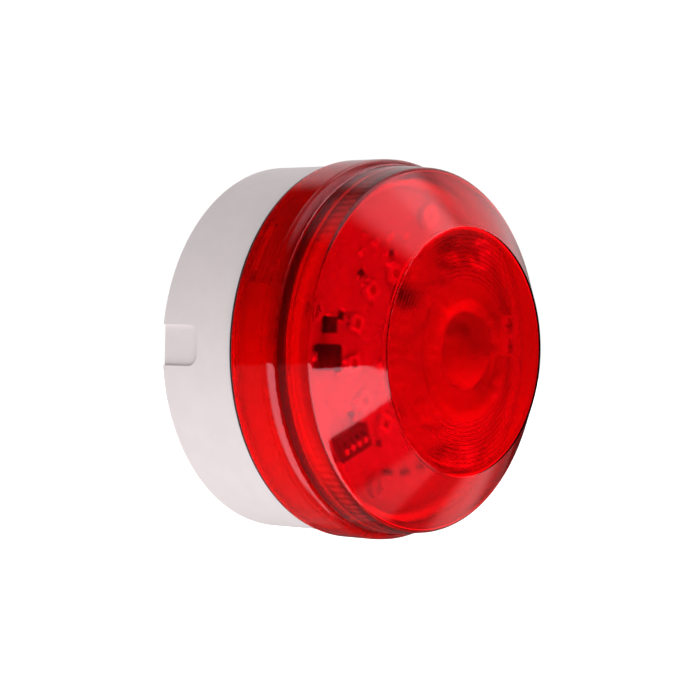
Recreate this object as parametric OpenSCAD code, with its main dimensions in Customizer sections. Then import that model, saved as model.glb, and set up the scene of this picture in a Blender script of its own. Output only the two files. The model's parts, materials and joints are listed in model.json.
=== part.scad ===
// Round wall-mounted LED alarm beacon.
// The back face lies on the plane Y = 0, the front faces -Y and +Z is up.
// Each sub-part is drawn lying on its back, with local X to the right, local Y up
// and local Z as the distance out from the wall. facing_out() then stands it up.

/* [Base] */
// Outside diameter of the white base
base_d = 95.4; // [94.4:0.2:96]
// Distance from the wall to the front edge of the base
base_h = 24.6; // [23:0.2:25.4]
// Thickness of the base's side wall
base_wall = 2.6; // [2:0.1:3]
// Thickness of the base's back
floor_t = 2.6; // [2.2:0.1:3.2]
// Distance between the two wall-fixing slots, centre to centre
fixing_spacing = 60; // [54:1:62]
// Width of a wall-fixing slot
fixing_slot_w = 4.5; // [3.5:0.1:5]
// Length of a wall-fixing slot, end to end
fixing_slot_l = 8; // [6:0.5:9]

/* [Cable entries] */
// Width of the thin knock-out pad in the side wall
pad_w = 10.4; // [8:0.2:12]
// Distance that the knock-out pad runs forward from the wall
pad_h = 12.3; // [10:0.1:15]
// Depth of the knock-out pad's recess at its middle
pad_recess = 1.2; // [0.5:0.1:1.4]
// Radius of the hole through the rear grommet
cable_r = 3; // [2:0.5:4]

/* [Lens] */
// Outside diameter of the collar that grips the base
collar_d = 98; // [97.6:0.2:99]
// Distance from the wall to the flat front of the lens
lens_front = 60.4; // [59:0.2:62]
// Distance from the wall to the edge between drum and cone
cone_start = 48.4; // [47:0.2:50]
// Diameter of the flat front disc
disc_d = 62.8; // [58:0.2:66]
// Wall thickness of the lens's drum and collar shoulder
lens_wall = 2.2; // [1.8:0.1:2.6]
// Turn that frees the lens from the base, in degrees
unlock_turn = 25; // [24:1:30]

/* [Board] */
// Diameter of the circuit board
board_d = 83; // [80:0.5:83]
// Distance from the wall to the populated side of the board
board_top = 38.4; // [37.4:0.2:38.8]
// Thickness of the board
board_t = 1.6; // [1:0.2:1.6]
// Radius of the circle that the board's screws lie on
board_screw_ring = 36; // [34:0.5:36.5]
// Side of a square LED package
led_side = 4.2; // [3:0.1:4.4]
// LEDs in the outer ring
outer_led_count = 12; // [9:1:12]
// Radius of the outer LED ring
outer_led_r = 19.7; // [19.6:0.1:20]
// LEDs round the central one
inner_led_count = 5; // [4:1:5]
// Radius of the inner LED ring
inner_led_r = 7; // [6.8:0.1:7.4]

/* [Hidden] */
$fn = 120;

// Gap between faces that pass each other
gap = 0.3;
// Overlap that joins two solids of one piece
bite = 0.3;
// Depth by which a cutting tool passes the surface that it cuts
through = 1;

base_r = base_d / 2;
base_inner_r = base_r - base_wall;
edge_break = 0.3;

// Spigot: the ring on the base that the lens collar slides over
spigot_r = base_r - 3.9;
spigot_wall = 2;
spigot_inner_r = spigot_r - spigot_wall;
spigot_top = board_top + 2.6;
spigot_root = base_h - 3;

// Sealing ring of round section in a groove near the spigot's top
o_ring_r = 1.2;
o_ring_seat = 0.5;
o_ring_z = spigot_top - 2.8;

// Recess and hole in the back for the grommet
grommet_flange_r = 9.2;
grommet_hole_r = 7;
grommet_recess = 1;
grommet_below = 0.15;
grommet_lip = 1.6;

// Knock-out pad
pad_corner_r = 3.2;

// Board posts and screws
post_r = 3.4;
pilot_r = 1.25;
pilot_depth = 10;
screw_head_r = 2.8;
screw_head_h = 1.9;
screw_slot = 0.7;
screw_recess_l = 3.4;
screw_hole_r = 1.75;
screw_l = 8;
board_screw_count = 4;
board_screw_start = 75;

// Gasket between base and lens
gasket_t = 0.5;
gasket_inner_r = base_r - 1.6;
gasket_r = collar_d / 2 - 0.3;
gasket_lip_h = 0.2;
gasket_lip_gap = 0.05;

// Lens outline
collar_r = collar_d / 2;
lens_back = base_h + gasket_t + 0.05;
collar_inner_r = collar_r - 3;
collar_front = lens_back + 10.45;
shoulder_r = collar_r - 1.5;
shoulder_front = collar_front + 2.9;
groove_d = 0.5;
groove_w = 0.8;
drum_back_r = collar_r - 1.6;
drum_front_r = collar_r - 2.6;
disc_r = disc_d / 2;
step_z = spigot_top + gap;
front_wall = lens_wall / 2 + 0.1;

// Optics on the inside of the front disc: a round bulge and a ring-shaped one round it
bullseye_r = 10;
bullseye_bulge = 0.6;
optic_ring_r = 18;
optic_ring_bulge = 0.4;
bullseye_sphere_r = (bullseye_r * bullseye_r + bullseye_bulge * bullseye_bulge) / (2 * bullseye_bulge);

// Slope of the cone, whose wall is half as thick as the collar's, and the line of its inner face
cone_wall = lens_wall / 2;
cone_run = drum_front_r - disc_r;
cone_rise = lens_front - cone_start;
cone_len = sqrt(cone_run * cone_run + cone_rise * cone_rise);
inner_cone_r = drum_front_r - cone_wall * cone_rise / cone_len;
inner_cone_z = cone_start - cone_wall * cone_run / cone_len;
inner_drum_front_r = drum_front_r - cone_wall;
inner_front_z = lens_front - front_wall;
function inner_cone_z_at(r) = inner_cone_z + (inner_cone_r - r) * cone_rise / cone_run;
function inner_cone_r_at(z) = inner_cone_r - (z - inner_cone_z) * cone_run / cone_rise;

// Bayonet: lugs on the base lie in front of the lugs on the lens
lug_count = 3;
lug_start = 20;
lug_span = 20;
lens_lug_z = lens_back + 1;
lens_lug_t = 2.4;
base_lug_z = lens_lug_z + lens_lug_t + gap;
base_lug_t = 2;
base_lug_r = collar_inner_r - 0.4;
lens_lug_r = spigot_r + 0.4;
base_lug_span = unlock_turn - 5;
stop_span = 4;
stop_gap = 0.4;

// LED packages
led_h = 1.7;
led_cup_r = 0.4 * led_side;
led_cup_d = 0.8;
led_window_h = 0.65;
outer_led_start = 11;
inner_led_start = 68.6;
outer_led_angles = [for (i = [0 : outer_led_count - 1]) outer_led_start + i * 360 / outer_led_count];
inner_led_angles = [for (i = [0 : inner_led_count - 1]) inner_led_start + i * 360 / inner_led_count];

// Four-way slide switch for the flash pattern
dip_ways = 4;
dip_pitch = 2.54;
dip_l = 11.7;
dip_w = 6.2;
dip_h = 3;
dip_x = -20.3;
dip_y = -23.3;
dip_turn = 22;
dip_slot_w = 1.2;
dip_slot_l = 3.4;
dip_cavity_w = 1.9;
dip_cavity_h = 0.8;
dip_cavity_z = 1.2;
slider_w = 1;
slider_l = 1.4;
slider_foot_w = 1.7;
slider_foot_h = 0.6;
slider_proud = 0.4;
slider_end_gap = 0.2;
slider_gap = 0.1;

// Controller, tangential between the two LED rings
controller_r = 13.6;
controller_angle = 73;
controller_l = 9.9;
controller_w = 3.9;
controller_h = 1.5;
controller_stand = 0.15;
pin_mark_r = 0.35;
pin_mark_d = 0.12;
pin_mark_in = 1.1;
lead_count = 8;
lead_pitch = 1.27;
lead_w = 0.42;
lead_out = 1.05;
lead_t = 0.2;

// Power parts
inductor_x = -30.6;
inductor_y = -2.1;
inductor_l = 7;
inductor_w = 6.4;
inductor_h = 4;
inductor_coil_r = 2.5;
inductor_groove = 0.25;
inductor_corner = 1;
diode_x = -28.8;
diode_y = 5.9;
diode_l = 3.7;
diode_w = 4.2;
diode_h = 2;
can_places = [[22, 24, 4, 7.2], [20, -26.5, 3.15, 5.8]];
can_base_h = 1;
can_base_margin = 0.25;
can_groove_d = 0.3;
can_groove_z = 1.5;
can_groove_w = 0.7;

// Chips
chip_l = 3.2;
chip_w = 1.6;
chip_h = 0.6;
chip_ring_r = outer_led_r + 5.3;
capacitor_chip_l = 2;
capacitor_chip_w = 1.25;
capacitor_chip_h = 0.9;
capacitor_chip_r = 29;
capacitor_chip_angles = [88, 100, 112, 124];
transistor_angles = [262, 275, 288];
transistor_ring_r = 31.5;
transistor_l = 2.9;
transistor_w = 1.3;
transistor_h = 1;
transistor_leg_w = 0.4;
transistor_leg_out = 0.55;
transistor_leg_t = 0.15;

// Terminal block for the supply
terminal_x = 31;
terminal_y = 4;
terminal_depth = 8;
terminal_pitch = 5.08;
terminal_ways = 2;
terminal_w = terminal_pitch * terminal_ways;
terminal_h = 10;
terminal_foot_h = 6.2;
terminal_step = 1.8;
terminal_entry_r = 1.6;
terminal_entry_z = 3;
terminal_well_r = 1.9;
terminal_screw_r = 1.75;
terminal_screw_h = 1.4;
terminal_screw_sunk = 0.6;
terminal_shank_r = 1.2;
terminal_clamp_w = 3;
terminal_clamp_h = 1.2;
wire_notch_r = 3.5;

// Turns a piece drawn on its back so that its front faces -Y
module facing_out() {
    rotate([90, 0, 0]) children();
}

// Places children on a circle, turned to face outwards
module on_ring(radius, angle) {
    rotate([0, 0, angle]) translate([radius, 0, 0]) children();
}

// A stretch of ring with a rectangular section
module ring_sector(inner, outer, z, height, start, span) {
    rotate([0, 0, start])
        rotate_extrude(angle = span)
            translate([inner, z]) square([outer - inner, height]);
}

// A box centred in X and Y that stands on Z = 0
module block(l, w, h) {
    translate([-l / 2, -w / 2, 0]) cube([l, w, h]);
}

// A slot with round ends along X, centred in X and Y, standing on Z = 0
module slot(length, width, height) {
    block(length - width, width, height);
    for (side = [-1, 1])
        translate([side * (length - width) / 2, 0, 0]) cylinder(d = width, h = height);
}

module base_outline() {
    polygon([
        [0, 0],
        [base_r - edge_break, 0],
        [base_r, edge_break],
        [base_r, base_h - edge_break],
        [base_r - edge_break, base_h],
        [spigot_r, base_h],
        [spigot_r, o_ring_z - o_ring_r],
        [spigot_r - o_ring_seat, o_ring_z - o_ring_r],
        [spigot_r - o_ring_seat, o_ring_z + o_ring_r],
        [spigot_r, o_ring_z + o_ring_r],
        [spigot_r, spigot_top - edge_break],
        [spigot_r - edge_break, spigot_top],
        [spigot_inner_r, spigot_top],
        [spigot_inner_r, spigot_root],
        [base_inner_r, spigot_root - (base_inner_r - spigot_inner_r)],
        [base_inner_r, floor_t],
        [0, floor_t]
    ]);
}

// The knock-out pad's shape: X is the distance from the wall, Y runs round the base
module pad_outline() {
    straight = pad_h - pad_corner_r;
    translate([-through, -pad_w / 2]) square([straight + through, pad_w]);
    translate([-through, -pad_w / 2 + pad_corner_r])
        square([pad_h + through, pad_w - 2 * pad_corner_r]);
    for (side = [-1, 1])
        translate([straight, side * (pad_w / 2 - pad_corner_r)]) circle(r = pad_corner_r);
}

module pad_cutter() {
    translate([-(base_r - pad_recess), 0, 0])
        rotate([0, -90, 0])
            linear_extrude(height = pad_recess + through) pad_outline();
}

module board_post() {
    translate([0, 0, floor_t - bite])
        difference() {
            cylinder(r = post_r, h = board_top - board_t - floor_t + bite);
            translate([0, 0, board_top - board_t - floor_t + bite - pilot_depth])
                cylinder(r = pilot_r, h = pilot_depth + through);
        }
}

// A lug that holds the lens, and the stop under its clockwise end
module base_lug() {
    stop_r = base_lug_r - bite;
    stop_start = -stop_gap - stop_span;
    ring_sector(spigot_r - bite, base_lug_r, base_lug_z, base_lug_t,
        stop_start, base_lug_span - stop_start);
    ring_sector(spigot_r - bite, stop_r, base_h - bite, base_lug_z - base_h + 2 * bite,
        stop_start, stop_span);
}

module base_housing() {
    color([0.88, 0.86, 0.86]) facing_out() {
        difference() {
            rotate_extrude() base_outline();
            translate([0, 0, -through])
                cylinder(r = grommet_hole_r, h = floor_t + 2 * through);
            translate([0, 0, -through])
                cylinder(r = grommet_flange_r + gap, h = grommet_recess + through);
            for (side = [-1, 1])
                translate([side * fixing_spacing / 2, 0, -through])
                    slot(fixing_slot_l, fixing_slot_w, floor_t + 2 * through);
            pad_cutter();
        }
        for (i = [0 : board_screw_count - 1])
            on_ring(board_screw_ring, board_screw_start + i * 360 / board_screw_count) board_post();
        for (i = [0 : lug_count - 1])
            rotate([0, 0, lug_start + i * 360 / lug_count]) base_lug();
    }
}

module entry_grommet() {
    neck_r = grommet_hole_r - 0.05;
    color([0.08, 0.08, 0.08]) facing_out()
        rotate_extrude()
            polygon([
                [cable_r, grommet_below],
                [grommet_flange_r, grommet_below],
                [grommet_flange_r, grommet_recess],
                [neck_r, grommet_recess],
                [neck_r, floor_t],
                [grommet_flange_r, floor_t],
                [grommet_flange_r - grommet_lip / 2, floor_t + grommet_lip],
                [cable_r, floor_t + grommet_lip]
            ]);
}

// A flat ring with a lip that turns back over the base's rim
module lens_gasket() {
    lip_r = base_r + gasket_lip_gap;
    color([0.07, 0.07, 0.08]) facing_out()
        rotate_extrude()
            polygon([
                [gasket_inner_r, base_h],
                [lip_r, base_h],
                [lip_r, base_h - gasket_lip_h],
                [gasket_r, base_h - gasket_lip_h],
                [gasket_r, base_h + gasket_t],
                [gasket_inner_r, base_h + gasket_t]
            ]);
}

module spigot_o_ring() {
    color([0.06, 0.06, 0.06]) facing_out()
        rotate_extrude()
            translate([spigot_r - o_ring_seat + o_ring_r, o_ring_z]) circle(r = o_ring_r);
}

// Quarter of an ellipse that rounds the collar into the drum
function shoulder_arc(steps) = [
    for (i = [0 : steps])
        let (a = 90 * i / steps)
        [
            shoulder_r + (collar_r - shoulder_r) * cos(a),
            collar_front + (shoulder_front - collar_front) * sin(a)
        ]
];

// Height of the bullseye's round face at a distance from the axis
function bullseye_z(r) = inner_front_z - bullseye_bulge + bullseye_sphere_r
    - sqrt(bullseye_sphere_r * bullseye_sphere_r - r * r);

// Section of the bullseye from the axis, where it has a small flat, out to its rim
function bullseye_arc(steps) = concat(
    [[0, bullseye_z(bullseye_r / steps)]],
    [for (i = [1 : steps]) [bullseye_r * i / steps, bullseye_z(bullseye_r * i / steps)]]
);

// Section of the ring-shaped bulge, from the bullseye's rim out
function optic_ring_arc(steps) = [
    for (i = [1 : steps])
        [
            bullseye_r + (optic_ring_r - bullseye_r) * i / steps,
            inner_front_z - optic_ring_bulge * sin(180 * i / steps)
        ]
];

module lens_outline() {
    polygon(concat(
        [
            [collar_inner_r, lens_back],
            [collar_r - edge_break, lens_back],
            [collar_r, lens_back + edge_break]
        ],
        shoulder_arc(8),
        [
            [drum_back_r - groove_d, shoulder_front + groove_w * 0.3],
            [drum_back_r - groove_d, shoulder_front + groove_w * 0.7],
            [drum_back_r, shoulder_front + groove_w],
            [drum_front_r, cone_start],
            [disc_r, lens_front],
            [0, lens_front]
        ],
        bullseye_arc(10),
        optic_ring_arc(8),
        [
            [inner_cone_r_at(inner_front_z), inner_front_z],
            [inner_drum_front_r, inner_cone_z_at(inner_drum_front_r)],
            [drum_back_r - lens_wall, step_z],
            [collar_inner_r, step_z]
        ]
    ));
}

module lens() {
    color([0.8, 0.02, 0.05, 0.6]) facing_out() {
        rotate_extrude() lens_outline();
        for (i = [0 : lug_count - 1])
            ring_sector(lens_lug_r, collar_inner_r + bite, lens_lug_z, lens_lug_t,
                lug_start + i * 360 / lug_count, lug_span);
    }
}

module main_board() {
    color([0.93, 0.93, 0.91]) facing_out()
        difference() {
            translate([0, 0, board_top - board_t]) cylinder(d = board_d, h = board_t);
            for (i = [0 : board_screw_count - 1])
                on_ring(board_screw_ring, board_screw_start + i * 360 / board_screw_count)
                    translate([0, 0, board_top - board_t - through])
                        cylinder(r = screw_hole_r, h = board_t + 2 * through);
            translate([board_d / 2 - wire_notch_r / 2, terminal_y, board_top - board_t - through])
                cylinder(r = wire_notch_r, h = board_t + 2 * through);
        }
}

module board_screw() {
    difference() {
        union() {
            cylinder(r = screw_head_r, h = screw_head_h);
            translate([0, 0, -screw_l]) cylinder(r = pilot_r, h = screw_l + bite);
        }
        for (turn = [0, 90])
            rotate([0, 0, turn])
                translate([0, 0, screw_head_h / 2])
                    block(screw_recess_l, screw_slot, screw_head_h);
    }
}

module board_screws() {
    color([0.75, 0.75, 0.77]) facing_out()
        for (i = [0 : board_screw_count - 1])
            on_ring(board_screw_ring, board_screw_start + i * 360 / board_screw_count)
                translate([0, 0, board_top]) board_screw();
}

// Puts children at every LED's place on the board
module at_each_led() {
    translate([0, 0, board_top]) {
        children();
        for (angle = inner_led_angles) on_ring(inner_led_r, angle) children();
        for (angle = outer_led_angles) on_ring(outer_led_r, angle) children();
    }
}

module led_packages() {
    color([0.95, 0.94, 0.9]) facing_out()
        at_each_led()
            difference() {
                block(led_side, led_side, led_h);
                translate([0, 0, led_h - led_cup_d]) cylinder(r = led_cup_r, h = led_cup_d + through);
            }
}

module led_windows() {
    color([0.95, 0.9, 0.6]) facing_out()
        at_each_led()
            translate([0, 0, led_h - led_cup_d]) cylinder(r = led_cup_r, h = led_window_h);
}

// Places children in the slide switch's own frame
module in_dip() {
    translate([dip_x, dip_y, board_top]) rotate([0, 0, dip_turn]) children();
}

function dip_way_x(way) = (way - (dip_ways + 1) / 2) * dip_pitch;

module dip_switch_body() {
    slot_floor = dip_cavity_z;
    cavity_l = dip_slot_l + 2 * slider_gap;
    color([0.09, 0.1, 0.13]) facing_out()
        in_dip()
            difference() {
                block(dip_l, dip_w, dip_h);
                for (way = [1 : dip_ways])
                    translate([dip_way_x(way), 0, slot_floor]) {
                        block(dip_slot_w, dip_slot_l, dip_h);
                        block(dip_cavity_w, cavity_l, dip_cavity_h);
                    }
            }
}

module dip_slider(way) {
    start_y = -(dip_slot_l - slider_l) / 2 + slider_end_gap;
    color([0.93, 0.93, 0.92]) facing_out()
        in_dip()
            translate([dip_way_x(way), start_y, dip_cavity_z + slider_gap]) {
                block(slider_foot_w, slider_l, slider_foot_h);
                block(slider_w, slider_l, dip_h + slider_proud - dip_cavity_z - slider_gap);
            }
}

module dip_slider_1() { dip_slider(1); }
module dip_slider_2() { dip_slider(2); }
module dip_slider_3() { dip_slider(3); }
module dip_slider_4() { dip_slider(4); }

// Places children in the controller's own frame, X along its rows of leads
module in_controller() {
    on_ring(controller_r, controller_angle)
        translate([0, 0, board_top]) rotate([0, 0, 90]) children();
}

module controller_body() {
    mark_z = controller_stand + controller_h - pin_mark_d;
    color([0.08, 0.08, 0.09]) facing_out()
        in_controller()
            difference() {
                translate([0, 0, controller_stand]) block(controller_l, controller_w, controller_h);
                translate([controller_l / 2 - pin_mark_in, controller_w / 4, mark_z])
                    cylinder(r = pin_mark_r, h = through);
            }
}

// One gull-wing lead: it leaves the body, steps down and rests on the board
module controller_lead() {
    half_h = controller_stand + controller_h / 2;
    block_y = controller_w / 2;
    translate([-lead_w / 2, block_y, half_h - lead_t]) cube([lead_w, lead_out / 2, lead_t]);
    translate([-lead_w / 2, block_y + lead_out / 2 - lead_t, 0]) cube([lead_w, lead_t, half_h]);
    translate([-lead_w / 2, block_y + lead_out / 2 - lead_t, 0])
        cube([lead_w, lead_out / 2 + lead_t, lead_t]);
}

module controller_leads() {
    color([0.8, 0.8, 0.8]) facing_out()
        in_controller()
            for (turn = [0, 180], i = [0 : lead_count - 1])
                rotate([0, 0, turn])
                    translate([(i - (lead_count - 1) / 2) * lead_pitch, 0, 0]) controller_lead();
}

module drive_transistor() {
    translate([0, 0, transistor_leg_t]) block(transistor_w, transistor_l, transistor_h);
    for (leg = [[-1, -1], [-1, 1], [1, 0]])
        translate([leg[0] * (transistor_w + transistor_leg_out) / 2, leg[1] * transistor_l / 3, 0])
            block(transistor_leg_out + bite, transistor_leg_w, 2 * transistor_leg_t);
}

module drive_transistors() {
    color([0.1, 0.1, 0.11]) facing_out()
        for (angle = transistor_angles)
            on_ring(transistor_ring_r, angle)
                translate([0, 0, board_top]) drive_transistor();
}

module power_inductor() {
    color([0.07, 0.07, 0.07]) facing_out()
        translate([inductor_x, inductor_y, board_top])
            difference() {
                block(inductor_l, inductor_w, inductor_h);
                for (sx = [-1, 1], sy = [-1, 1])
                    translate([sx * inductor_l / 2, sy * inductor_w / 2, -through])
                        rotate([0, 0, 45])
                            block(inductor_corner, inductor_corner, inductor_h + 2 * through);
                translate([0, 0, inductor_h - inductor_groove])
                    difference() {
                        cylinder(r = inductor_coil_r + inductor_groove, h = through);
                        translate([0, 0, -through]) cylinder(r = inductor_coil_r, h = 3 * through);
                    }
            }
}

module rectifier_diode() {
    color([0.08, 0.08, 0.08]) facing_out()
        translate([diode_x, diode_y, board_top]) {
            translate([0, 0, transistor_leg_t]) block(diode_l, diode_w, diode_h);
            block(diode_l / 2, diode_w + 2 * transistor_leg_out, 2 * transistor_leg_t);
        }
}

module capacitor_cans() {
    color([0.75, 0.76, 0.78]) facing_out()
        for (can = can_places)
            translate([can[0], can[1], board_top + can_base_h])
                difference() {
                    cylinder(r = can[2], h = can[3]);
                    translate([0, 0, can_groove_z])
                        difference() {
                            cylinder(r = can[2] + through, h = can_groove_w);
                            translate([0, 0, -through])
                                cylinder(r = can[2] - can_groove_d, h = can_groove_w + 2 * through);
                        }
                }
}

module capacitor_bases() {
    color([0.06, 0.06, 0.06]) facing_out()
        for (can = can_places)
            translate([can[0], can[1], board_top])
                block(2 * (can[2] + can_base_margin), 2 * (can[2] + can_base_margin), can_base_h);
}

module chip_resistors() {
    color([0.12, 0.12, 0.13]) facing_out()
        for (angle = outer_led_angles)
            on_ring(chip_ring_r, angle)
                translate([0, 0, board_top]) block(chip_w, chip_l, chip_h);
}

module chip_capacitors() {
    color([0.62, 0.5, 0.36]) facing_out()
        for (angle = capacitor_chip_angles)
            on_ring(capacitor_chip_r, angle)
                translate([0, 0, board_top])
                    block(capacitor_chip_w, capacitor_chip_l, capacitor_chip_h);
}

// Places children at the middle of one way of the terminal block
module at_terminal(way) {
    translate([terminal_x, terminal_y + (way - (terminal_ways + 1) / 2) * terminal_pitch, board_top])
        children();
}

module terminal_block() {
    color([0.72, 0.73, 0.74]) facing_out()
        difference() {
            translate([terminal_x, terminal_y, board_top]) {
                block(terminal_depth, terminal_w, terminal_foot_h);
                translate([-terminal_step / 2, 0, 0])
                    block(terminal_depth - terminal_step, terminal_w, terminal_h);
            }
            for (way = [1 : terminal_ways])
                at_terminal(way) {
                    translate([0, 0, terminal_entry_z])
                        rotate([0, 90, 0]) cylinder(r = terminal_entry_r, h = terminal_depth);
                    translate([-terminal_step / 2, 0, terminal_entry_z - terminal_entry_r])
                        cylinder(r = terminal_well_r, h = terminal_h);
                }
        }
}

module terminal_screws() {
    head_z = terminal_h - terminal_screw_h - terminal_screw_sunk;
    shank_z = terminal_entry_z + terminal_entry_r + terminal_clamp_h;
    color([0.78, 0.78, 0.8]) facing_out()
        for (way = [1 : terminal_ways])
            at_terminal(way)
                translate([-terminal_step / 2, 0, 0])
                    difference() {
                        union() {
                            translate([0, 0, head_z]) cylinder(r = terminal_screw_r, h = terminal_screw_h);
                            translate([0, 0, shank_z])
                                cylinder(r = terminal_shank_r, h = head_z - shank_z + bite);
                        }
                        translate([0, 0, head_z + terminal_screw_h / 2])
                            block(4 * terminal_screw_r, screw_slot, terminal_screw_h);
                    }
}

module terminal_clamps() {
    clamp_z = terminal_entry_z + terminal_entry_r;
    color([0.8, 0.78, 0.7]) facing_out()
        for (way = [1 : terminal_ways])
            at_terminal(way)
                translate([-terminal_step / 2, 0, clamp_z])
                    intersection() {
                        cylinder(r = terminal_well_r - slider_gap, h = terminal_clamp_h);
                        block(2 * terminal_well_r, terminal_clamp_w, terminal_clamp_h);
                    }
}

base_housing();
entry_grommet();
lens_gasket();
spigot_o_ring();
lens();
main_board();
board_screws();
led_packages();
led_windows();
dip_switch_body();
dip_slider_1();
dip_slider_2();
dip_slider_3();
dip_slider_4();
controller_body();
controller_leads();
drive_transistors();
power_inductor();
rectifier_diode();
capacitor_cans();
capacitor_bases();
chip_resistors();
chip_capacitors();
terminal_block();
terminal_screws();
terminal_clamps();
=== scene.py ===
import json
import math
import random

import bmesh
import bpy
from mathutils import Matrix, Vector


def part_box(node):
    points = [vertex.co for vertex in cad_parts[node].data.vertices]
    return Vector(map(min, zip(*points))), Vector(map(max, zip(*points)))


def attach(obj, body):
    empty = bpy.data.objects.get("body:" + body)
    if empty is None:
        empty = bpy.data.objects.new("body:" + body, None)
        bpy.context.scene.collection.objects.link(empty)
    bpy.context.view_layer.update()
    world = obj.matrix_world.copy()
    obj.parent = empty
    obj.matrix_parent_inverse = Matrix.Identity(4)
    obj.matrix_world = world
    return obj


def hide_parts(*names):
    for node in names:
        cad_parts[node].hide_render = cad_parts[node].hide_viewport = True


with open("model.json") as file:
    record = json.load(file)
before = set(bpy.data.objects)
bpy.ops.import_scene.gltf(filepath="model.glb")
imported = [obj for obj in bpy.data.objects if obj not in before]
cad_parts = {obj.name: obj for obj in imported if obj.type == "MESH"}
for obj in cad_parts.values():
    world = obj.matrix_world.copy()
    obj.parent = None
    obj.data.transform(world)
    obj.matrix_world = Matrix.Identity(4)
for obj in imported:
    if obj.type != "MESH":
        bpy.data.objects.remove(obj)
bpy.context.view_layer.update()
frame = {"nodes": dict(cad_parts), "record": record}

# Looks for the round wall-mounted LED alarm beacon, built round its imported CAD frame.
# Sizes are in millimetres in the beacon's own lying-down frame, as in the CAD source: X to the
# right, Y up and Z the distance out from the wall. to_world() turns that into Blender's metres.
MM = 0.001


def span(node):
    """A CAD node's lowest and highest corner in the lying-down frame, in millimetres."""
    low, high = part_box(node)
    return Vector((low.x, low.z, -high.y)) / MM, Vector((high.x, high.z, -low.y)) / MM


def to_world(point):
    x, y, z = point
    return Vector((x, -z, y)) * MM


# ---------------------------------------------------------------- sizes taken from the frame
LENS_LOW, LENS_HIGH = span("lens")
COLLAR_R = LENS_HIGH.x
LENS_BACK = LENS_LOW.z
LENS_FRONT = LENS_HIGH.z
SPIGOT_TOP = span("base_housing")[1].z
BOARD_TOP = span("main_board")[1].z


# ---------------------------------------------------------------- mesh helpers
# A radius below this counts as a point on the axis
ON_AXIS = 1e-9


def link(name, mesh):
    piece = bpy.data.objects.new(name, mesh)
    bpy.context.scene.collection.objects.link(piece)
    return piece


class Shape:
    """Collects vertices and faces in the lying-down frame and makes one object of them."""

    def __init__(self):
        self.points = []
        self.faces = []

    def add(self, points, faces, place=None):
        start = len(self.points)
        self.points += [place @ Vector(p) if place else Vector(p) for p in points]
        self.faces += [[start + i for i in face] for face in faces]

    def make(self, name, sharp_angle=35):
        mesh = bpy.data.meshes.new(name)
        mesh.from_pydata([to_world(p) for p in self.points], [], self.faces)
        made = bmesh.new()
        made.from_mesh(mesh)
        bmesh.ops.recalc_face_normals(made, faces=made.faces)
        made.to_mesh(mesh)
        made.free()
        mesh.shade_smooth()
        mesh.set_sharp_from_angle(angle=math.radians(sharp_angle))
        return link(name, mesh)


def at(x, y, z, turn=0):
    """A place in the lying-down frame: a turn about Z in degrees, then a shift."""
    return Matrix.Translation((x, y, z)) @ Matrix.Rotation(math.radians(turn), 4, "Z")


def on_ring(radius, angle, z):
    """A place on a circle, turned so that local X points outwards."""
    a = math.radians(angle)
    return at(radius * math.cos(a), radius * math.sin(a), z, angle)


def arc(centre_r, centre_z, radius, start, end, steps):
    """Points of a circular arc in the (r, z) plane, angles in degrees from +r towards +z."""
    angles = [math.radians(start + (end - start) * i / steps) for i in range(steps + 1)]
    return [(centre_r + radius * math.cos(a), centre_z + radius * math.sin(a)) for a in angles]


def even_angles(steps):
    return [360 * i / steps for i in range(steps)]


def lathe(shape, profile, angles, place=None, shift=None):
    """Turns an (r, z) outline about the axis. A point at r = 0 becomes one vertex.
    shift(i, angle) gives what to add to the r and z of outline point i at that angle."""
    points, rings = [], []
    for i, (r, z) in enumerate(profile):
        if r < ON_AXIS:
            rings.append([len(points)])
            points.append((0, 0, z))
            continue
        ring = []
        for angle in angles:
            dr, dz = shift(i, angle) if shift else (0, 0)
            a = math.radians(angle)
            ring.append(len(points))
            points.append(((r + dr) * math.cos(a), (r + dr) * math.sin(a), z + dz))
        rings.append(ring)
    faces = []
    count = len(angles)
    for k, ring in enumerate(rings):
        following = rings[(k + 1) % len(rings)]
        if len(ring) == 1 and len(following) == 1:
            continue
        for i in range(count):
            j = (i + 1) % count
            if len(ring) == 1:
                faces.append([ring[0], following[i], following[j]])
            elif len(following) == 1:
                faces.append([ring[i], following[0], ring[j]])
            else:
                faces.append([ring[i], following[i], following[j], ring[j]])
    shape.add(points, faces, place)


# ---------------------------------------------------------------- camera and stage
# The photograph's viewpoint: angles in degrees, then the camera's distance from the middle of the
# base's back and how far to its right and above it the camera aims, in metres
CAMERA_AZIMUTH = -49.57
CAMERA_ELEVATION = 0.23
CAMERA_ROLL = 1.28
CAMERA_DISTANCE = 0.6548
AIM_RIGHT = 0.01659
AIM_UP = -0.00083
FOCAL_LENGTH = 126.05
SENSOR_WIDTH = 36
# The floor's height and half its width, in metres, and its lamp's strength and spread in degrees
FLOOR_Z = -0.11
FLOOR_HALF = 6
FLOOR_GREY = (0.85, 0.85, 0.85, 1)
FLOOR_LIGHT = 3.4
FLOOR_LIGHT_SPREAD = 50


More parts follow.
